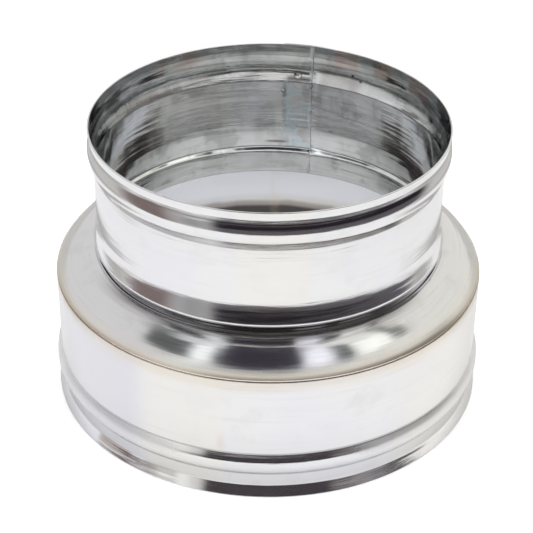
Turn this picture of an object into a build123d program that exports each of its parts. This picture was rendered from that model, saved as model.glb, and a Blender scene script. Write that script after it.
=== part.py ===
from build123d import *
import math
import os

# Flue pipe adapter of stainless sheet: a wide skirt below, a domed shoulder and a narrow collar above.
# Millimetres, +Z up, with the origin on the axis in the plane of the foot rim.

# Nominal bores, sheet and heights
collar_bore = 120.0
skirt_bore = 150.0
sheet = 0.6
overall_height = 102.2
weld_height = 47.5

# Skirt, from the foot rim upwards
foot_flare_height = 5.5
foot_flare_lean = 13.0
foot_band_height = 3.8
skirt_bead_width = 8.7
skirt_bead_height = 1.6

# Shoulder, from the weld line inwards
dome_edge_lean = 33.0
dome_neck_slope = 8.0
neck_bend_radius = 1.8
neck_flange_length = 3.6
neck_clearance = 0.1

# Collar, from its clinched lower end upwards
clinch_radius = 1.6
clinch_lean = 60.0
clinch_clearance = 0.1
neck_recess = 1.4
seat_bead_underside = 2.4
seat_bead_height = 1.3
seat_bead_taper = 6.4
mouth_bead_width = 8.4
mouth_bead_height = 2.2
mouth_band_step = 0.5
mouth_band_height = 2.0
mouth_flare_height = 4.2
mouth_flare_lean = 15.0

# Forming radii on the outside of the sheet
bead_foot_radius = 1.2
taper_crest_radius = 1.2
flare_bend_radius = 1.5

# Lap seam of the rolled collar, with the outer ply centred on this azimuth from +X
lap_width = 10.8
lap_azimuth = 80.0

collar_radius = collar_bore / 2 + sheet
skirt_radius = skirt_bore / 2 + sheet


def run(length):
    """A straight stretch of a sheet's outside line."""
    return ("run", length)


def bend(radius, turn):
    """A round stretch of a sheet's outside line, turning left by so many degrees."""
    return ("bend", radius, turn)


def swell(rise, height):
    """Widen an upright wall by a height over a rise, from a tight foot to a full crest."""
    turn = 2 * math.atan(height / rise)
    crest_radius = rise / math.sin(turn) - bead_foot_radius
    return [bend(bead_foot_radius, -math.degrees(turn)), bend(crest_radius, math.degrees(turn))]


def shrink(rise, height):
    """Narrow an upright wall by a height over a rise, from a full crest to a tight foot."""
    foot, crest = swell(rise, height)
    return [crest, foot]


def taper(rise, height):
    """Narrow an upright wall along a straight cone between two tight bends."""
    radii = taper_crest_radius + bead_foot_radius
    lean = math.asin(radii / math.hypot(rise, radii - height)) - math.atan2(radii - height, rise)
    slant = (rise - radii * math.sin(lean)) / math.cos(lean)
    turn = math.degrees(lean)
    return [bend(taper_crest_radius, turn), run(slant), bend(bead_foot_radius, -turn)]


def flare_slant(height, lean):
    """Length of the straight part of a flare that is so high, its bend included."""
    return (height - flare_bend_radius * math.sin(math.radians(lean))) / math.cos(math.radians(lean))


def flare_reach(height, lean):
    """How far a flare that is so high stands out from its wall."""
    angle = math.radians(lean)
    bend_reach = flare_bend_radius * (1 - math.cos(angle))
    return bend_reach + flare_slant(height, lean) * math.sin(angle)


def sheet_line(start, lean, stretches, inset):
    """Edges along a sheet that starts upright but for a lean to the axis, set in from its outside line."""
    tangent = Vector(0, 1).rotate(Axis.Z, lean)
    point = Vector(*start) + tangent.rotate(Axis.Z, 90) * inset
    edges = []
    for kind, size, *turn in stretches:
        if kind == "run":
            edge = Line(point, point + tangent * size)
        else:
            edge = JernArc(point, tangent, size - math.copysign(inset, turn[0]), turn[0])
        point = edge @ 1
        tangent = edge % 1
        edges.append(edge)
    return edges


def sheet_section(start, lean, stretches, near=0.0, far=sheet):
    """Section of a sheet between two insets from its outside line, in the XZ plane."""
    outside = sheet_line(start, lean, stretches, near)
    inside = sheet_line(start, lean, stretches, far)
    ends = [Line(outside[0] @ 0, inside[0] @ 0), Line(outside[-1] @ 1, inside[-1] @ 1)]
    return Plane.XZ * make_face(outside + inside + ends)


# Skirt: flared foot, band, bead and plain wall, with the foot rim cut level on the floor plane
foot_trim = sheet
foot_lean = math.radians(foot_flare_lean)
foot_radius = skirt_radius + flare_reach(foot_flare_height, foot_flare_lean) + foot_trim * math.tan(foot_lean)
skirt_wall = weld_height - foot_flare_height - foot_band_height - skirt_bead_width
skirt_stretches = [
    run(foot_trim / math.cos(foot_lean) + flare_slant(foot_flare_height, foot_flare_lean)),
    bend(flare_bend_radius, -foot_flare_lean),
    run(foot_band_height),
    *swell(skirt_bead_width / 2, skirt_bead_height),
    *shrink(skirt_bead_width / 2, skirt_bead_height),
    run(skirt_wall),
]
skirt_section = sheet_section((foot_radius, -foot_trim), foot_flare_lean, skirt_stretches)
skirt = split(revolve(skirt_section, Axis.Z), Plane.XY, keep=Keep.TOP)

# Shoulder: dome from the weld line, where it is cut level, and a flange turned down at the neck
edge_lean = math.radians(dome_edge_lean)
neck_slope = math.radians(dome_neck_slope)
neck_radius = collar_radius + neck_clearance
dome_inner = neck_radius + neck_bend_radius * (1 + math.sin(neck_slope))
dome_radius = (skirt_radius - dome_inner) / (math.cos(edge_lean) - math.sin(neck_slope))
dome_top = weld_height + dome_radius * (math.cos(neck_slope) - math.sin(edge_lean))
neck_crown = dome_top + neck_bend_radius * (1 - math.cos(neck_slope))
flange_bottom = neck_crown - neck_bend_radius - neck_flange_length
edge_trim = sheet
dome_start = (skirt_radius + edge_trim * math.sin(edge_lean), weld_height - edge_trim * math.cos(edge_lean))
shoulder_stretches = [
    run(edge_trim),
    bend(dome_radius, 90 - dome_edge_lean - dome_neck_slope),
    bend(neck_bend_radius, 90 + dome_neck_slope),
    run(neck_flange_length),
]
shoulder_section = sheet_section(dome_start, dome_edge_lean, shoulder_stretches)
shoulder_ring = split(revolve(shoulder_section, Axis.Z), Plane.XY.offset(weld_height), keep=Keep.TOP)

# Collar: clinched end, neck wall, seat bead over the shoulder, plain wall, mouth bead, band and flare
clinch = math.radians(clinch_lean)
clinch_top = flange_bottom - clinch_clearance
clinch_end = (collar_radius + clinch_radius * (1 - math.cos(clinch)), clinch_top - clinch_radius * math.sin(clinch))
seat_foot = neck_crown + neck_recess
mouth_rim = overall_height - sheet * math.sin(math.radians(mouth_flare_lean))
mouth_foot = mouth_rim - mouth_flare_height - mouth_band_height - mouth_bead_width
collar_wall = mouth_foot - seat_foot - seat_bead_underside - seat_bead_taper
neck_stretches = [bend(clinch_radius, -clinch_lean), run(seat_foot - clinch_top)]
lapped_stretches = [
    *swell(seat_bead_underside, seat_bead_height),
    *taper(seat_bead_taper, seat_bead_height),
    run(collar_wall),
    *swell(mouth_bead_width / 2, mouth_bead_height),
    *shrink(mouth_bead_width / 2, mouth_bead_height - mouth_band_step),
    run(mouth_band_height),
    bend(flare_bend_radius, -mouth_flare_lean),
    run(flare_slant(mouth_flare_height, mouth_flare_lean)),
]
collar_section = sheet_section(clinch_end, clinch_lean, neck_stretches + lapped_stretches)
collar_ring = revolve(collar_section, Axis.Z)

# Outer ply of the lap seam, from the seat bead up to the mouth, joined to the ring half a sheet deep
lap_angle = math.degrees(lap_width / collar_radius)
lap_section = sheet_section((collar_radius, seat_foot), 0, lapped_stretches, near=-sheet, far=sheet / 2)
lap_ply = revolve(Rot(0, 0, lap_azimuth - lap_angle / 2) * lap_section, Axis.Z, lap_angle)
collar_pipe = collar_ring + lap_ply

os.makedirs("parts", exist_ok=True)
for name, piece in (("skirt", skirt), ("shoulder_ring", shoulder_ring), ("collar_pipe", collar_pipe)):
    export_step(piece, f"parts/{name}.step")
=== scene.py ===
import math
import bmesh
import bpy
from mathutils import Matrix, Vector


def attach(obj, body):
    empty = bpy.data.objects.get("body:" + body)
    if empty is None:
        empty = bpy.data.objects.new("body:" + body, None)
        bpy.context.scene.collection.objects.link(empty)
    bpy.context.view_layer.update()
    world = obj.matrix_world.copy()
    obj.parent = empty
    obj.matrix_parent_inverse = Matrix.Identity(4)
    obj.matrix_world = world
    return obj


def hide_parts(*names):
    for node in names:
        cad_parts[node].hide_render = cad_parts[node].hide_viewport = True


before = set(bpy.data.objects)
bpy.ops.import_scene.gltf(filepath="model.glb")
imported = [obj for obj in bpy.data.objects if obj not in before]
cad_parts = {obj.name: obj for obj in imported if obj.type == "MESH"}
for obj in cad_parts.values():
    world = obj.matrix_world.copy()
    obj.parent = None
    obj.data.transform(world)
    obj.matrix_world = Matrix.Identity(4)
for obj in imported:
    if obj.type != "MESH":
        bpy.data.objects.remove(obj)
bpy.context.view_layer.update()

# Everything is drawn in millimetres and brought to metres at the end of each piece
MM = 0.001
SHEET = 0.6
TURN_STEPS = 288
BEND_STEP = 6.0
BRACE = 0.25
ROOT_BEND = 1.2
EDGE_ROUND = 0.1
SHARP_EDGE = math.radians(50)
SAME_PLACE = 0.0001


# Sheet metal: a line of straight runs and round bends, turned round the axis and given its thickness

def run(length):
    """A straight stretch of a sheet's outside line."""
    return ("run", length, 0.0)


def bend(radius, turn):
    """A round stretch of a sheet's outside line, turning to the left by so many degrees."""
    return ("bend", radius, turn)


def swell(rise, height, foot_radius=ROOT_BEND):
    """Widens an upright wall by a height over a rise, from a tight foot to a full crest."""
    turn = 2 * math.atan(height / rise)
    crest_radius = rise / math.sin(turn) - foot_radius
    return [bend(foot_radius, -math.degrees(turn)), bend(crest_radius, math.degrees(turn))]


def shrink(rise, height, foot_radius=ROOT_BEND):
    """Narrows an upright wall by a height over a rise, from a full crest to a tight foot."""
    foot, crest = swell(rise, height, foot_radius)
    return [crest, foot]


def cone_over(rise, height, lower_radius, upper_radius):
    """Narrows an upright wall by a height over a rise, along a straight cone between two bends."""
    radii = lower_radius + upper_radius
    lean = math.asin(radii / math.hypot(rise, radii - height)) - math.atan2(radii - height, rise)
    slant = (rise - radii * math.sin(lean)) / math.cos(lean)
    turn = math.degrees(lean)
    return [bend(lower_radius, turn), run(slant), bend(upper_radius, -turn)]


def cone_parts(height, lean, lower_radius, upper_radius):
    """Narrows an upright wall by a height along a cone of so many degrees, between two bends."""
    angle = math.radians(lean)
    slant = (height - (lower_radius + upper_radius) * (1 - math.cos(angle))) / math.sin(angle)
    return [bend(lower_radius, lean), run(slant), bend(upper_radius, -lean)]


def widen_parts(height, lean, lower_radius, upper_radius):
    """Widens an upright wall by a height along a cone of so many degrees, between two bends."""
    slant = cone_parts(height, lean, lower_radius, upper_radius)[1]
    return [bend(lower_radius, -lean), slant, bend(upper_radius, lean)]


def rise_of(parts):
    """How high the three parts of such a cone go."""
    (_, lower_radius, lean), (_, slant, _), (_, upper_radius, _) = parts
    angle = math.radians(abs(lean))
    return (lower_radius + upper_radius) * math.sin(angle) + slant * math.cos(angle)


def draw_line(line, start, lean, stretches):
    """Draws a sheet's outside line in the XZ plane, upwards from a point (radius, height)."""
    tip = line.verts.new((start[0], 0, start[1]))
    heading = math.radians(90 + lean)
    for kind, size, turn in stretches:
        forward = Vector((math.cos(heading), 0, math.sin(heading)))
        if kind == "run":
            brace = min(BRACE, size / 4)
            for step in (brace, size - 2 * brace, brace):
                tip = bmesh.ops.extrude_vert_indiv(line, verts=[tip])["verts"][0]
                tip.co += forward * step
        else:
            left = Vector((-forward.z, 0, forward.x))
            centre = tip.co + left * math.copysign(size, turn)
            steps = max(2, math.ceil(abs(turn) / BEND_STEP))
            spun = bmesh.ops.spin(line, geom=[tip], cent=centre, axis=(0, -1, 0),
                                  angle=math.radians(turn), steps=steps)
            tip = [g for g in spun["geom_last"] if isinstance(g, bmesh.types.BMVert)][0]
            heading += math.radians(turn)
    line.verts.ensure_lookup_table()


def spin_round(shape, geom, angle, steps, close=False):
    """Turns a line round the axis by so many degrees and gives the line that it ends at."""
    spun = bmesh.ops.spin(shape, geom=geom, cent=(0, 0, 0), axis=(0, 0, 1),
                          angle=math.radians(angle), steps=steps, use_merge=close)
    return [g for g in spun["geom_last"] if not isinstance(g, bmesh.types.BMFace)]


def turn_outwards(shell):
    """Points the faces of an open sheet away from the axis."""
    bmesh.ops.recalc_face_normals(shell, faces=shell.faces)
    outward = sum(f.normal.dot(Vector((c.x, c.y, 0)).normalized()) * f.calc_area()
                  for f in shell.faces for c in (f.calc_center_median(),))
    if outward < 0:
        bmesh.ops.reverse_faces(shell, faces=shell.faces)


def thicken(shell):
    """Gives a sheet its thickness inwards and takes the sharpness off its cut edges."""
    bmesh.ops.solidify(shell, geom=shell.faces[:], thickness=SHEET)
    cut_edges = [e for e in shell.edges
                 if len(e.link_faces) == 2 and e.calc_face_angle(0) > SHARP_EDGE]
    bmesh.ops.bevel(shell, geom=cut_edges, offset=EDGE_ROUND, affect="EDGES", segments=2,
                    profile=0.5, material=-1)


def finish_piece(shell, name, node, finish):
    """Brings a piece to metres as an object that stands for its node."""
    bmesh.ops.scale(shell, vec=(MM, MM, MM), verts=shell.verts)
    for face in shell.faces:
        face.smooth = True
    mesh = bpy.data.meshes.new(name)
    shell.to_mesh(mesh)
    shell.free()
    mesh.materials.append(finish)
    piece = bpy.data.objects.new(name, mesh)
    bpy.context.scene.collection.objects.link(piece)
    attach(piece, "root")
    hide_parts(node)


# Skirt, from the foot rim upwards
SKIRT_RADIUS = 75.6
WELD_HEIGHT = 47.2
FOOT_LEAN = 25.0
FOOT_HEIGHT = 4.4
FOOT_BEND = 1.2
BAND_RADIUS = 75.2
BEAD_RADIUS = 77.15
BEAD_FOOT = 8.7
BEAD_FOOT_BEND = 1.0
BEAD_CREST = 12.3
BEAD_CREST_BEND = 8.0
BEAD_TOP_LEAN = 27.5
BEAD_TOP_BEND = 0.8
EDGE_LEAN = 35.0
EDGE_BEND = 1.0
foot_turn = math.radians(FOOT_LEAN)
foot_lift = SHEET * math.sin(foot_turn)
foot_slant = (FOOT_HEIGHT - foot_lift - FOOT_BEND * math.sin(foot_turn)) / math.cos(foot_turn)
foot_reach = FOOT_BEND * (1 - math.cos(foot_turn)) + foot_slant * math.sin(foot_turn)
bead_top = cone_parts(BEAD_RADIUS - SKIRT_RADIUS, BEAD_TOP_LEAN, BEAD_CREST_BEND, BEAD_TOP_BEND)
skirt_top = BEAD_CREST + rise_of(bead_top)
skirt_start = (BAND_RADIUS + foot_reach, foot_lift)
skirt_line = [
    run(foot_slant),
    bend(FOOT_BEND, -FOOT_LEAN),
    run(BEAD_FOOT - FOOT_HEIGHT),
    *swell(BEAD_CREST - BEAD_FOOT, BEAD_RADIUS - BAND_RADIUS, BEAD_FOOT_BEND),
    *bead_top,
    run(WELD_HEIGHT - skirt_top - EDGE_BEND * math.sin(math.radians(EDGE_LEAN))),
    bend(EDGE_BEND, EDGE_LEAN),
]

# Shoulder, from the weld inwards: a dome down to a flange round the neck
WELD_GAP = 0.3
DOME_EDGE = 75.4
DOME_LEAN = 32.0
NECK_SLOPE = 8.0
NECK_RADIUS = 60.7
NECK_BEND = 1.1
NECK_FLANGE = 3.6
neck_slope = math.radians(NECK_SLOPE)
dome_inner = NECK_RADIUS + NECK_BEND * (1 + math.sin(neck_slope))
dome_radius = (DOME_EDGE - dome_inner) / (math.cos(math.radians(DOME_LEAN)) - math.sin(neck_slope))
shoulder_start = (DOME_EDGE, WELD_HEIGHT + WELD_GAP)
shoulder_line = [
    bend(dome_radius, 90 - DOME_LEAN - NECK_SLOPE),
    bend(NECK_BEND, 90 + NECK_SLOPE),
    run(NECK_FLANGE),
]

# Collar, from its clinched lower end upwards
COLLAR_RADIUS = 60.6
CLINCH_LEAN = 60.0
CLINCH_RADIUS = 1.6
CLINCH_TOP = 50.2
SEAT_FOOT = 57.1
SEAT_RISE = 2.4
SEAT_BEAD = 1.35
SEAT_CREST_BEND = 3.0
SEAT_TAPER = 8.6
SEAT_TAPER_BEND = 18.0
MOUTH_FOOT = 87.4
MOUTH_FOOT_LEAN = 23.0
MOUTH_FOOT_BEND = 0.6
MOUTH_BEAD = 2.0
MOUTH_CREST_BEND = 10.0
MOUTH_BAND = 1.35
MOUTH_BAND_BEND = 2.0
MOUTH_SHRINK = 3.8
MOUTH_LIP = 99.2
MOUTH_LIP_BEND = 1.5
MOUTH_TOP = 102.1
MOUTH_LEAN = 7.0
mouth_underside = widen_parts(MOUTH_BEAD, MOUTH_FOOT_LEAN, MOUTH_FOOT_BEND, MOUTH_CREST_BEND)
mouth_lean = math.radians(MOUTH_LEAN)
mouth_bend_rise = MOUTH_LIP_BEND * math.sin(mouth_lean)
clinch = math.radians(CLINCH_LEAN)
collar_start = (COLLAR_RADIUS + CLINCH_RADIUS * (1 - math.cos(clinch)),
                CLINCH_TOP - CLINCH_RADIUS * math.sin(clinch))
collar_line = [
    bend(CLINCH_RADIUS, -CLINCH_LEAN),
    run(SEAT_FOOT - CLINCH_TOP),
    *swell(SEAT_RISE, SEAT_BEAD),
    *cone_over(SEAT_TAPER, SEAT_BEAD, SEAT_CREST_BEND, SEAT_TAPER_BEND),
    run(MOUTH_FOOT - SEAT_FOOT - SEAT_RISE - SEAT_TAPER),
    *mouth_underside,
    *shrink(MOUTH_SHRINK, MOUTH_BEAD - MOUTH_BAND, MOUTH_BAND_BEND),
    run(MOUTH_LIP - MOUTH_FOOT - rise_of(mouth_underside) - MOUTH_SHRINK),
    bend(MOUTH_LIP_BEND, -MOUTH_LEAN),
    run((MOUTH_TOP - MOUTH_LIP - mouth_bend_rise) / math.cos(mouth_lean)),
]


def full_ring(start, lean, stretches):
    """A sheet turned all the way round the axis."""
    ring = bmesh.new()
    draw_line(ring, start, lean, stretches)
    spin_round(ring, ring.verts[:] + ring.edges[:], 360, TURN_STEPS, close=True)
    bmesh.ops.remove_doubles(ring, verts=ring.verts, dist=SAME_PLACE)
    turn_outwards(ring)
    thicken(ring)
    return ring


# Lap seam of the rolled collar: the inner ply's edge, and how the outer ply steps out over it
LAP_EDGE = 75.0
LAP_WIDTH = 10.3
LAP_WIDTH_STEPS = 10
LAP_RAMP = 8.0
LAP_RAMP_STEPS = 8
LAP_STEP = SHEET + 0.03
STEP_ANGLE = 1.25


def degrees_round(point):
    """Where a point is round the axis, in degrees from +X."""
    return math.degrees(math.atan2(point.y, point.x))


def lapped_ring(start, lean, stretches):
    """A sheet rolled round the axis until its end lies over its beginning, notched below the seat."""
    ring = bmesh.new()
    draw_line(ring, start, lean, stretches)
    bmesh.ops.rotate(ring, verts=ring.verts, cent=(0, 0, 0),
                     matrix=Matrix.Rotation(math.radians(LAP_EDGE), 3, "Z"))
    plain_angle = 360 - LAP_RAMP
    last = spin_round(ring, ring.verts[:] + ring.edges[:], plain_angle, round(plain_angle / STEP_ANGLE))
    rolled = set(ring.verts)
    for angle, steps in ((LAP_RAMP, LAP_RAMP_STEPS), (LAP_WIDTH, LAP_WIDTH_STEPS)):
        last = spin_round(ring, last, angle, steps)
    end = [v for v in ring.verts if v not in rolled]
    for vert in end:
        ramp = min(1, (degrees_round(vert.co) - LAP_EDGE + LAP_RAMP) / LAP_RAMP)
        rise = max(0, min(1, (vert.co.z - SEAT_FOOT) / SEAT_RISE))
        out = Vector((vert.co.x, vert.co.y, 0)).normalized()
        vert.co += out * (LAP_STEP * ramp * ramp * (3 - 2 * ramp) * rise)
    end = set(end)
    notch = [f for f in ring.faces for c in (f.calc_center_median(),)
             if c.z < SEAT_FOOT and LAP_EDGE < degrees_round(c) < LAP_EDGE + LAP_WIDTH
             and all(v in end for v in f.verts)]
    bmesh.ops.delete(ring, geom=notch, context="FACES")
    turn_outwards(ring)
    thicken(ring)
    return ring


# Finishes

class Finish:
    """The shader nodes of a surface: each method adds one or more and returns the output."""

    def __init__(self, tree):
        self.tree = tree

    def feed(self, socket, value):
        """Links an output to a socket, or sets the socket to a number or colour."""
        if isinstance(value, bpy.types.NodeSocket):
            self.tree.links.new(value, socket)
        elif isinstance(value, tuple):
            socket.default_value = (*value, 1) if socket.type == "RGBA" else value
        else:
            socket.default_value = value

    def maths(self, operation, *inputs):
        made = self.tree.nodes.new("ShaderNodeMath")
        made.operation = operation
        for socket, value in zip(made.inputs, inputs):
            self.feed(socket, value)
        return made.outputs[0]

    def both(self, *masks):
        """Where all the masks are, or a part of them where one is a number."""
        product = masks[0]
        for mask in masks[1:]:
            product = self.maths("MULTIPLY", product, mask)
        return product

    def length(self, x, y):
        """Distance from the axis."""
        return self.maths("SQRT", self.maths("ADD", self.both(x, x), self.both(y, y)))

    def degrees(self, across, along):
        """Angle from one direction towards another, in degrees."""
        return self.maths("DEGREES", self.maths("ARCTAN2", across, along))

    def ramp(self, value, low, high, at_low=0.0, at_high=1.0):
        """Goes smoothly from one level at low to another at high."""
        made = self.tree.nodes.new("ShaderNodeMapRange")
        made.interpolation_type = "SMOOTHSTEP"
        levels = {"Value": value, "From Min": low, "From Max": high, "To Min": at_low, "To Max": at_high}
        for name, level in levels.items():
            self.feed(made.inputs[name], level)
        return made.outputs["Result"]

    def window(self, value, low, high, soft):
        """One between low and high, fading to nought outside."""
        return self.both(self.ramp(value, low - soft, low + soft), self.ramp(value, high + soft, high - soft))

    def line(self, value, middle, half_width):
        """One along a line, fading to nought at its half width."""
        return self.ramp(self.maths("ABSOLUTE", self.maths("SUBTRACT", value, middle)), half_width, 0)

    def lay(self, below, above, mask):
        """Lays one colour over another."""
        made = self.tree.nodes.new("ShaderNodeMix")
        made.data_type = "RGBA"
        self.feed(made.inputs[6], below)
        self.feed(made.inputs[7], above)
        self.feed(made.inputs[0], mask)
        return made.outputs[2]

    def vector(self, x, y, z):
        made = self.tree.nodes.new("ShaderNodeCombineXYZ")
        for socket, value in zip(made.inputs, (x, y, z)):
            self.feed(socket, value)
        return made.outputs[0]

    def axes(self, vector):
        made = self.tree.nodes.new("ShaderNodeSeparateXYZ")
        self.feed(made.inputs[0], vector)
        return made.outputs[0], made.outputs[1], made.outputs[2]

    def noise(self, vector, scale=1.0, detail=2.0, roughness=0.5):
        made = self.tree.nodes.new("ShaderNodeTexNoise")
        self.feed(made.inputs["Vector"], vector)
        made.inputs["Scale"].default_value = scale
        made.inputs["Detail"].default_value = detail
        made.inputs["Roughness"].default_value = roughness
        return made.outputs["Fac"]

    def distance(self, vector, point):
        made = self.tree.nodes.new("ShaderNodeVectorMath")
        made.operation = "DISTANCE"
        self.feed(made.inputs[0], vector)
        made.inputs[1].default_value = point
        return made.outputs["Value"]

    def bump(self, height, depth, normal=None):
        made = self.tree.nodes.new("ShaderNodeBump")
        made.inputs["Strength"].default_value = 1.0
        made.inputs["Distance"].default_value = depth
        self.feed(made.inputs["Height"], height)
        if normal is not None:
            self.feed(made.inputs["Normal"], normal)
        return made.outputs["Normal"]


# Colours of the steel and of what is left on it, and of painted shade, highlights and reflections
BRIGHT = (0.80, 0.80, 0.81)
PRESSED = (0.79, 0.79, 0.79)
STRAW = (0.72, 0.60, 0.44)
CREAM = (0.83, 0.80, 0.73)
LILAC = (0.78, 0.78, 0.84)
# Soot darkens real spot-weld rims and specks, and is also painted shade in creases, corners and deep inside;
# slate is painted shade in creases
SOOT_AND_SHADE = (0.10, 0.09, 0.09)
CREASE_SHADE = (0.42, 0.43, 0.50)
PALE = (0.90, 0.91, 0.92)
BLOOM = (0.62, 0.71, 0.76)
RUSSET = (0.62, 0.50, 0.45)
UMBER = (0.36, 0.32, 0.29)
TAN = (0.46, 0.37, 0.28)
PAINTED_DIM_REFLECTION = (0.70, 0.70, 0.74)
ASH = (0.40, 0.38, 0.37)
PAINTED_PALE_REFLECTION = (0.88, 0.90, 0.96)
WORN = (0.78, 0.80, 0.79)
GRIME = (0.36, 0.38, 0.37)
SMEAR = (0.42, 0.44, 0.42)
RUBBED = (0.95, 0.98, 0.97)

# Share of the tint that streaks and mottle leave, and the roughness of the brushed sheet
STREAK_SHARE = 0.91
MOTTLE_SHARE = 0.93
LEAST_ROUGH = 0.06
BRUSH_ROUGH = 0.09

# Depths of the relief in metres, and how much coarser a worn inside is
BRUSH_DEPTH = 4.0e-6
STREAK_DEPTH = 3.0e-5
BAND_DEPTH = 1.0e-4
CLOUD_DEPTH = 2.2e-4
FLAT_DEPTH = 1.0e-4
WORN_COARSER = 1.9


class Steel(Finish):
    """Bright stainless sheet, finely brushed round the axis, and worn on its inside.

    Masks read height in millimetres, and turn and back in degrees round the axis from the front and the back.
    """

    def __init__(self, name, tint, outward_share, wear):
        self.material = bpy.data.materials.new(name)
        self.material.use_nodes = True
        super().__init__(self.material.node_tree)
        self.shader = self.tree.nodes["Principled BSDF"]
        self.shader.inputs["Metallic"].default_value = 1.0
        self.place = self.tree.nodes.new("ShaderNodeTexCoord").outputs["Object"]
        x, y, z = self.axes(self.place)
        self.radius = self.length(x, y)
        self.height = self.both(z, 1 / MM)
        self.turn = self.degrees(x, self.both(y, -1))
        self.back = self.degrees(x, y)
        east = self.maths("DIVIDE", x, self.radius)
        north = self.maths("DIVIDE", y, self.radius)
        across = self.maths("SUBTRACT", self.both(self.radius, outward_share), z)

        def streaks(turns, per_metre, detail):
            along = self.vector(self.both(east, turns), self.both(north, turns), self.both(across, per_metre))
            return self.noise(along, detail=detail, roughness=0.6)

        facing = self.axes(self.tree.nodes.new("ShaderNodeNewGeometry").outputs["Normal"])
        outward = self.maths("ADD", self.both(facing[0], east), self.both(facing[1], north))
        self.inside = self.ramp(outward, 0.1, -0.1)
        self.brushing = streaks(7.0, 3000, 1)
        self.streaking = streaks(2.4, 620, 3)
        self.banding = streaks(0.9, 170, 2)
        self.flats = streaks(6.0, 10, 1)
        self.patches = streaks(6.0, 26, 3)
        self.mottle = self.noise(self.place, 95, 3, 0.6)
        self.cloud = self.noise(self.place, 34, 2, 0.5)

        self.colour = tint
        self.stain(tuple(STREAK_SHARE * c for c in tint), self.ramp(self.streaking, 0.5, 0.8))
        self.stain(tuple(MOTTLE_SHARE * c for c in tint), self.ramp(self.mottle, 0.5, 0.75))
        worn = self.both(self.inside, wear)
        self.stain(WORN, worn)
        self.stain(GRIME, self.both(worn, self.ramp(self.streaking, 0.50, 0.34), 0.28))
        self.stain(SMEAR, self.both(worn, self.ramp(self.patches, 0.52, 0.34), 0.3))
        self.stain(GRIME, self.both(worn, self.ramp(self.mottle, 0.50, 0.36), 0.5))
        below_mouth = self.ramp(self.height, 88, 84)
        self.stain(RUBBED, self.both(worn, self.ramp(self.cloud, 0.50, 0.64), below_mouth, 0.7))

        self.gloss = self.maths("ADD", LEAST_ROUGH, self.both(self.brushing, BRUSH_ROUGH))
        coarse = self.maths("MULTIPLY_ADD", worn, WORN_COARSER, 1.0)
        self.relief = self.bump(self.brushing, BRUSH_DEPTH)
        for height, depth in (
            (self.both(self.streaking, coarse), STREAK_DEPTH),
            (self.both(self.banding, coarse), BAND_DEPTH),
            (self.cloud, CLOUD_DEPTH),
            (self.both(self.flats, coarse), FLAT_DEPTH),
        ):
            self.relief = self.bump(height, depth, self.relief)

    def stain(self, colour, mask):
        """Tints the steel where the mask is."""
        self.colour = self.lay(self.colour, colour, mask)

    def dull(self, amount, mask):
        """Takes the shine off where the mask is."""
        self.gloss = self.maths("ADD", self.gloss, self.both(mask, amount))

    def ragged(self, noise, amount):
        """The height, raised by a noise so that a border along it is ragged."""
        return self.maths("MULTIPLY_ADD", noise, amount, self.height)

    def apart(self, back, height, radius):
        """Distance in millimetres from a point, given by its degrees from the back, height and radius."""
        angle = math.radians(back)
        point = (radius * MM * math.sin(angle), radius * MM * math.cos(angle), height * MM)
        return self.both(self.distance(self.place, point), 1 / MM)

    def weld_mark(self, back, height, radius, size):
        """A round spot weld: dimpled, pale in the middle and dark round the rim."""
        apart = self.apart(back, height, radius)
        self.stain(SOOT_AND_SHADE, self.both(self.window(apart, 0.7 * size, 0.95 * size, 0.2 * size), 0.7))
        self.stain(PALE, self.both(self.ramp(apart, 0.7 * size, 0.2 * size), 0.8))
        self.relief = self.bump(self.ramp(apart, size, 0.1 * size), -0.12 * size * MM, self.relief)

    def speck(self, back, height, radius, size):
        """A small dark speck."""
        self.stain(SOOT_AND_SHADE, self.ramp(self.apart(back, height, radius), size, 0.6 * size))

    def done(self):
        self.feed(self.shader.inputs["Base Color"], self.colour)
        self.feed(self.shader.inputs["Roughness"], self.gloss)
        self.feed(self.shader.inputs["Normal"], self.relief)
        return self.material


SKIRT_SEAM = 2.1


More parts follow.
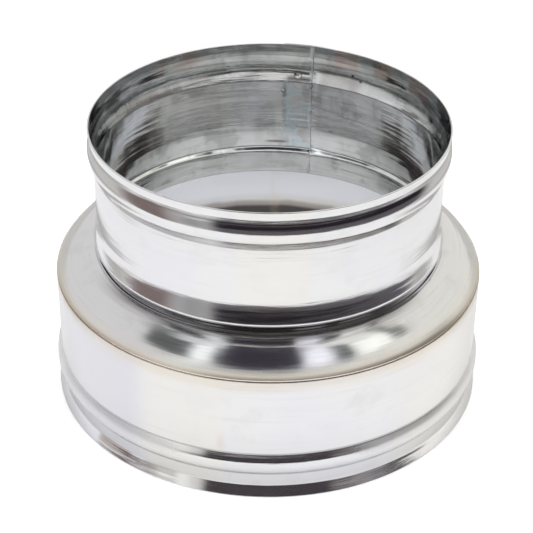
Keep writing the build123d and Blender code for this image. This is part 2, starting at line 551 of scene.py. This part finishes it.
def skirt_finish():
    """Skirt: straw heat tint below the weld, painted shade in the bead's creases and deep inside, painted
    reflections on the wall and the foot's flare.
    """
    steel = Steel("skirt_steel", BRIGHT, 0.5, 0.1)

    # Wall: random lilac mottle, a painted darker reflection at the left and painted cream reflections
    steel.stain(LILAC, steel.both(steel.ramp(steel.cloud, 0.45, 0.65), 0.5))
    steel.stain(PAINTED_DIM_REFLECTION, steel.both(steel.window(steel.turn, -70, -34, 5), 0.85))
    steel.stain(CREAM, steel.both(steel.ramp(steel.turn, -36, -30), steel.ramp(steel.turn, -10.5, -11.7), 0.4))
    steel.stain(CREAM, steel.both(steel.ramp(steel.turn, 30, 44), 0.4))

    # Heat tint and weld line
    heat = steel.ramp(steel.ragged(steel.streaking, 5), 43, 50)
    steel.stain(STRAW, steel.both(heat, 0.42))
    steel.dull(0.16, heat)
    steel.stain(TAN, steel.both(steel.line(steel.height, 47.0, 0.6), 0.7))

    # Painted shade in the creases above and below the bead, a rusty mark above it, and its dull sides
    steel.stain(SOOT_AND_SHADE, steel.both(steel.line(steel.height, 17.5, 0.5), 0.5))
    steel.stain(CREASE_SHADE, steel.both(steel.line(steel.height, 9.0, 0.7), 0.75))
    rusty = steel.window(steel.height, 18, 24, 4)
    steel.stain(RUSSET, steel.both(steel.line(steel.turn, -11.5, 1.8), rusty, 0.3))
    sides = steel.ramp(steel.maths("ABSOLUTE", steel.turn), 16, 30)
    steel.dull(0.28, steel.both(sides, steel.window(steel.height, 12.6, 17.0, 0.5)))

    # Painted brown reflections on the foot's flare, and its cut rim
    flare = steel.both(steel.ramp(steel.height, 4.7, 4.3), steel.ramp(steel.streaking, 0.34, 0.48))
    steel.stain(UMBER, steel.both(flare, steel.window(steel.turn, -50, -38, 1.5), 0.8))
    steel.stain(UMBER, steel.both(flare, steel.window(steel.turn, -33, -23.5, 1.5), 0.5))
    rim = steel.ramp(steel.height, 0.55, 0.35)
    steel.stain(PALE, rim)
    steel.dull(0.35, rim)

    # Inside, at the back: painted shade low down and a painted pale reflection above it, with the butt seam and
    # a painted highlight along it
    painted_shade = steel.both(steel.inside, steel.window(steel.back, -62, 62, 14))
    steel.stain(UMBER, steel.both(painted_shade, steel.ramp(steel.ragged(steel.mottle, 2.0), 29.2, 26.8), 0.8))
    steel.stain(SOOT_AND_SHADE, steel.both(painted_shade, steel.ramp(steel.ragged(steel.mottle, 1.5), 26.4, 24.6), 0.98))
    steel.stain(PAINTED_PALE_REFLECTION, steel.both(painted_shade, steel.ramp(steel.height, 28, 31), 0.9))
    seam_heat = steel.line(steel.back, SKIRT_SEAM, 2.5)
    steel.stain(STRAW, steel.both(seam_heat, steel.ramp(steel.mottle, 0.35, 0.6), 0.2))
    seam = steel.line(steel.back, SKIRT_SEAM, 1.0)
    steel.stain(PALE, steel.both(seam, steel.window(steel.height, 30, 36, 3), 0.5))
    return steel.done()


def shoulder_finish():
    """Shoulder: pressed and brushed, with a cream dressed edge at the weld and painted shade round the neck at
    the front.
    """
    steel = Steel("shoulder_steel", PRESSED, 1.0, 0.2)
    edge = steel.ramp(steel.ragged(steel.streaking, -2), 51.5, 47.0)
    steel.stain(CREAM, steel.both(edge, 0.8))
    steel.dull(0.22, edge)
    steel.stain(STRAW, steel.both(steel.line(steel.height, 47.9, 1.1), 0.6))
    # Painted shade near the neck, on the front only, with a ragged border
    ragged_radius = steel.maths("MULTIPLY_ADD", steel.streaking, 0.004, steel.radius)
    near_neck = steel.ramp(ragged_radius, 0.0695, 0.0645)
    steel.stain(SOOT_AND_SHADE, steel.both(near_neck, steel.window(steel.turn, -58, 48, 12), 0.6))
    steel.gloss = steel.maths("ADD", steel.gloss, 0.02)
    return steel.done()


# Marks on the collar: degrees from the back, height, radius and size
WELD_MARKS = ((9.8, 89.6, 61.5, 1.8), (4.7, 84.0, 60.0, 1.0), (15.0, 86.4, 60.0, 0.9), (15.0, 75.4, 60.0, 0.8))
SPECKS = ((113.8, 58.6, 62.3, 1.0), (29.8, 93.1, 62.0, 0.7), (33.0, 91.6, 62.0, 0.8))


def collar_finish():
    """Collar: bright rolled strip, with painted shade in its creases and the marks of its lap seam, some of
    them painted highlights and shade.
    """
    steel = Steel("collar_steel", BRIGHT, 0.5, 1.0)

    # Wall and creases: random lilac mottle, a painted cream reflection at the front, and painted shade in the
    # crease under the mouth bead and under the seat bead at the front
    steel.stain(LILAC, steel.both(steel.ramp(steel.cloud, 0.45, 0.65), 0.5))
    steel.stain(CREAM, steel.both(steel.window(steel.turn, -9.5, 12.5, 1.5), 0.4))
    steel.stain(CREASE_SHADE, steel.both(steel.line(steel.height, 87.5, 0.5), 0.4))
    outside = steel.maths("SUBTRACT", 1.0, steel.inside)
    under_seat = steel.window(steel.height, 56.0, 58.6, 0.6)
    steel.stain(SOOT_AND_SHADE, steel.both(outside, steel.window(steel.turn, -24, 46, 12), under_seat, 0.65))

    # Inside: painted highlights, dulled, in the mouth bead's groove and at the clinched end
    groove = steel.both(steel.inside, steel.window(steel.ragged(steel.streaking, 2.4), 90.4, 92.6, 1.3),
                        steel.window(steel.maths("ABSOLUTE", steel.back), 26, 84, 12),
                        steel.ramp(steel.patches, 0.22, 0.56))
    clinched = steel.both(steel.inside, steel.ramp(steel.height, 51.2, 50.4))
    for painted_highlight in (groove, clinched):
        steel.stain(PALE, steel.both(painted_highlight, 0.9))
        steel.dull(0.36, painted_highlight)

    # Lap seam: bloom along the strip, painted highlights on its edges and painted shade along its far edge and
    # in its corners
    strip = steel.window(steel.back, 4.7, 15.0, 0.3)
    strip_bloom = steel.both(strip, steel.ramp(steel.mottle, 0.36, 0.52), steel.window(steel.height, 58, 86, 4))
    steel.stain(BLOOM, steel.both(strip_bloom, 0.9))
    steel.dull(0.25, steel.both(strip, steel.ramp(steel.mottle, 0.40, 0.6), steel.ramp(steel.height, 90, 86)))
    lap_highlight = steel.line(steel.back, 14.4, 0.9)
    steel.stain(PALE, steel.both(lap_highlight, steel.ramp(steel.mottle, 0.44, 0.56)))
    steel.dull(0.35, steel.both(lap_highlight, steel.ramp(steel.mottle, 0.44, 0.52)))
    # Painted shade along the inner ply's edge inside, and in the seam's corners
    far_edge = steel.both(steel.inside, steel.line(steel.back, 5.2, 1.4), steel.window(steel.height, 74, 86, 5))
    steel.stain(SOOT_AND_SHADE, steel.both(far_edge, steel.ramp(steel.mottle, 0.46, 0.60), 0.6))
    low_corner = steel.both(steel.window(steel.back, -1.0, 6.0, 2), steel.line(steel.height, 61.6, 1.0))
    top_corner = steel.both(steel.window(steel.back, 6.0, 14.6, 1), steel.line(steel.height, 88.8, 1.6))
    steel.stain(SOOT_AND_SHADE, steel.both(low_corner, 0.75))
    steel.stain(SOOT_AND_SHADE, steel.both(top_corner, 0.8))
    beside_lap = steel.both(steel.window(steel.back, 17, 33, 3), steel.window(steel.height, 87.0, 93.5, 1))
    steel.stain(ASH, steel.both(steel.inside, beside_lap, 0.7))
    # Painted highlight along the cut edge inside
    cut_edge = steel.both(steel.inside, steel.line(steel.back, 14.95, 0.55),
                          steel.ramp(steel.mottle, 0.36, 0.60))
    steel.stain(PALE, steel.both(cut_edge, 0.8))
    steel.dull(0.4, cut_edge)

    # Rosy patches inside the lip, spot welds and specks
    rosy = steel.both(steel.inside, steel.ramp(steel.height, 93, 98), steel.ramp(steel.patches, 0.42, 0.54))
    steel.stain(RUSSET, steel.both(rosy, steel.window(steel.back, 18, 75, 6), 0.8))
    steel.stain(RUSSET, steel.both(rosy, steel.window(steel.back, -42, -26, 5), 0.8))
    for mark in WELD_MARKS:
        steel.weld_mark(*mark)
    for mark in SPECKS:
        steel.speck(*mark)
    return steel.done()


skirt_steel = skirt_finish()
shoulder_steel = shoulder_finish()
collar_steel = collar_finish()

finish_piece(full_ring(skirt_start, FOOT_LEAN, skirt_line),
             "skirt_sheet", "skirt", skirt_steel)
finish_piece(full_ring(shoulder_start, DOME_LEAN, shoulder_line),
             "shoulder_sheet", "shoulder_ring", shoulder_steel)
finish_piece(lapped_ring(collar_start, CLINCH_LEAN, collar_line),
             "collar_sheet", "collar_pipe", collar_steel)

# Stage: a round white table top with painted shadow in rings at the sides and back, fading out towards its rim
TABLE_RADIUS = 0.26
PAPER_WHITE = (0.9, 0.9, 0.9)
PAPER_SHADE = (0.46, 0.45, 0.43)
SIDE_DEGREES = (72, 96)
SHADE_RING = (0.124, 0.150, 0.006)
SHADE_BEYOND = (0.185, 0.205)
GLOW = 0.35
SHADE_GLOW = 0.5
FADE_REACH = (0.206, 0.227)
SIDE_FADE = -0.028

table_mesh = bmesh.new()
bmesh.ops.create_circle(table_mesh, cap_ends=True, segments=128, radius=TABLE_RADIUS)
mesh = bpy.data.meshes.new("table_top")
table_mesh.to_mesh(mesh)
table_mesh.free()
table = bpy.data.objects.new("table_top", mesh)
bpy.context.scene.collection.objects.link(table)

paper = bpy.data.materials.new("white_paper")
paper.use_nodes = True
paper.node_tree.nodes.clear()
sheet = Finish(paper.node_tree)
place_x, place_y, _ = sheet.axes(sheet.tree.nodes.new("ShaderNodeTexCoord").outputs["Object"])
reach = sheet.length(place_x, place_y)
aside = sheet.ramp(sheet.degrees(sheet.maths("ABSOLUTE", place_x), sheet.both(place_y, -1)), *SIDE_DEGREES)
# Painted shadow: the paper is darker in a ring and beyond it at the sides and back
rings = sheet.maths("ADD", sheet.window(reach, *SHADE_RING), sheet.ramp(reach, *SHADE_BEYOND))
painted_shade = sheet.both(aside, rings)
diffuse = sheet.tree.nodes.new("ShaderNodeBsdfDiffuse")
sheet.feed(diffuse.inputs["Color"], sheet.lay(PAPER_WHITE, PAPER_SHADE, painted_shade))
glow = sheet.tree.nodes.new("ShaderNodeEmission")
glance = sheet.tree.nodes.new("ShaderNodeLightPath").outputs["Is Camera Ray"]
sheet.feed(glow.inputs["Strength"], sheet.both(glance, sheet.maths("MULTIPLY_ADD", painted_shade, SHADE_GLOW, GLOW)))
lit = sheet.tree.nodes.new("ShaderNodeAddShader")
sheet.tree.links.new(diffuse.outputs[0], lit.inputs[0])
sheet.tree.links.new(glow.outputs[0], lit.inputs[1])
clear = sheet.tree.nodes.new("ShaderNodeBsdfTransparent")
fade = sheet.tree.nodes.new("ShaderNodeMixShader")
sheet.feed(fade.inputs[0], sheet.ramp(sheet.maths("MULTIPLY_ADD", aside, SIDE_FADE, reach), *FADE_REACH))
sheet.tree.links.new(lit.outputs[0], fade.inputs[1])
sheet.tree.links.new(clear.outputs[0], fade.inputs[2])
surface = sheet.tree.nodes.new("ShaderNodeOutputMaterial")
sheet.tree.links.new(fade.outputs[0], surface.inputs["Surface"])
mesh.materials.append(paper)

# Surroundings: a white tent with a dark front, which the steel reflects
WALL_LEFT = (0.77, 0.76, 0.77)
WALL_RIGHT = (0.89, 0.87, 0.82)
WHITE = (1, 1, 1)
OVERHEAD_SHIFT = 0.6
DIFFUSE_DIMMER = -0.42

world = bpy.data.worlds.new("white_tent")
bpy.context.scene.world = world
world.use_nodes = True
world.node_tree.nodes.clear()
tent = Finish(world.node_tree)
east, north, up = tent.axes(tent.tree.nodes.new("ShaderNodeTexCoord").outputs["Generated"])
south = tent.both(north, -1)
azimuth = tent.degrees(east, south)
elevation = tent.maths("DEGREES", tent.maths("ARCSINE", up))
# Overhead, the sides of the softboxes run to a point behind the object
bearing = tent.degrees(east, tent.maths("MULTIPLY_ADD", up, OVERHEAD_SHIFT, south))

# Each zone lies over those before it: what it is measured by, its colour, and from, to and softness in
# degrees, first round the axis and then in elevation
TENT_ZONES = (
    (azimuth, (0.09, 0.09, 0.10), (-200, 200, 5), (70, 95, 5)),  # open crown
    (azimuth, (0.62, 0.61, 0.59), (-200, 200, 5), (-60, 3, 3)),  # floor beyond the table
    (azimuth, (0.23, 0.18, 0.17), (-96, -58, 12), (-60, 2.5, 2.5)),  # brown floor at the left
    (azimuth, (0.12, 0.10, 0.095), (28, 103, 4), (5, 17, 3)),  # dark low wall at the right
    (azimuth, (0.12, 0.11, 0.12), (-36, 106, 10), (-60, 3, 2.5)),  # dark floor at the front and right
    (azimuth, (0.02, 0.017, 0.022), (-31, 103, 5), (-13, 3, 3)),  # its darkest edge
    (azimuth, (0.06, 0.05, 0.055), (-31, 32, 3), (2, 17, 3)),  # dark front opening
    (azimuth, (0.92, 0.90, 0.85), (-33, 60, 6), (22, 38, 4)),  # bright front wall above it
    (bearing, (0.20, 0.21, 0.20), (-75, 82, 6), (58, 90, 5)),  # grey roof
    (bearing, (0.12, 0.13, 0.125), (-54, 66, 4), (45, 90, 6)),  # dark roof over the front
    (bearing, (0.045, 0.04, 0.055), (-20.5, 13.5, 3), (45, 90, 6)),  # its darkest panel
    (azimuth, (0.36, 0.36, 0.36), (-55, -37, 8), (-25, 0, 4)),  # foot of the left softbox
    (azimuth, (0.95, 0.97, 0.97), (-55, -37, 3), (1, 46, 4)),  # left softbox
    (bearing, (1.22, 1.25, 1.25), (-30, -21, 2.5), (44, 80, 5)),  # left strip overhead
    (bearing, (1.18, 1.18, 1.27), (14.5, 26, 2.5), (45, 80, 5)),  # middle strip overhead
    (bearing, (1.27, 1.27, 1.2), (36, 57, 3), (44, 72, 5)),  # right softbox overhead
    (azimuth, (0.9, 0.89, 0.86), (100, 150, 4), (62, 76, 4)),  # high panel at the right
    (azimuth, (0.75, 0.75, 0.77), (-150, -100, 4), (66, 76, 4)),  # high panel at the left
)
walls = tent.lay(WALL_LEFT, WALL_RIGHT, tent.window(azimuth, 60, 170, 25))
for around, colour, sideways, upwards in TENT_ZONES:
    mask = tent.both(tent.window(around, *sideways), tent.window(elevation, *upwards))
    walls = tent.lay(walls, colour, mask)
rays = tent.tree.nodes.new("ShaderNodeLightPath")
seen = tent.maths("MAXIMUM", rays.outputs["Is Camera Ray"], rays.outputs["Is Transmission Ray"])
background = tent.tree.nodes.new("ShaderNodeBackground")
dimmed = tent.maths("MULTIPLY_ADD", rays.outputs["Is Diffuse Ray"], DIFFUSE_DIMMER, 1.0)
tent.feed(background.inputs["Strength"], dimmed)
tent.feed(background.inputs["Color"], tent.lay(walls, WHITE, seen))
sky = tent.tree.nodes.new("ShaderNodeOutputWorld")
tent.tree.links.new(background.outputs[0], sky.inputs["Surface"])

# Softboxes at the left, the right and overhead: the tent shows their faces, the lamps give their light
LAMP_SIZE = 0.35
SOFTBOXES = (
    ("left_softbox", -45, 54, 2.75),
    ("right_softbox", 36, 54, 2.75),
    ("top_softbox", 180, 80, 3.5),
)
for name, lamp_azimuth, lamp_elevation, watts in SOFTBOXES:
    az, el = math.radians(lamp_azimuth), math.radians(lamp_elevation)
    direction = Vector((math.cos(el) * math.sin(az), -math.cos(el) * math.cos(az), math.sin(el)))
    data = bpy.data.lights.new(name, "AREA")
    data.size = LAMP_SIZE
    data.energy = watts
    lamp = bpy.data.objects.new(name, data)
    lamp.location = direction
    lamp.rotation_euler = direction.to_track_quat("Z", "Y").to_euler()
    lamp.visible_glossy = False
    bpy.context.scene.collection.objects.link(lamp)

# Camera, fitted to the rim ellipses: angles in radians, and where the axis falls in the frame in pixels
CAMERA_DISTANCE = 0.579575
CAMERA_RISE = 0.57319
CAMERA_ROLL = 0.01152
AIM_HEIGHT = 0.040
FOCAL_PIXELS = 1600.0
FRAME_PIXELS = 533.0
AXIS_PIXEL = 268.084
LIFT_PIXELS = 6.764
SENSOR_WIDTH = 36.0
camera_data = bpy.data.cameras.new("photo_camera")
camera_data.sensor_width = SENSOR_WIDTH
camera_data.lens = SENSOR_WIDTH * FOCAL_PIXELS / FRAME_PIXELS
camera_data.shift_x = (FRAME_PIXELS / 2 - AXIS_PIXEL) / FRAME_PIXELS
camera_data.shift_y = LIFT_PIXELS / FRAME_PIXELS
camera_data.clip_start = 0.01
camera = bpy.data.objects.new("photo_camera", camera_data)
bpy.context.scene.collection.objects.link(camera)
camera.location = (0, -CAMERA_DISTANCE * math.cos(CAMERA_RISE),
                   AIM_HEIGHT + CAMERA_DISTANCE * math.sin(CAMERA_RISE))
look = Matrix.Rotation(math.pi / 2 - CAMERA_RISE, 4, "X") @ Matrix.Rotation(CAMERA_ROLL, 4, "Z")
camera.rotation_euler = look.to_euler()
bpy.context.scene.camera = camera
bpy.context.scene.view_settings.view_transform = "Standard"
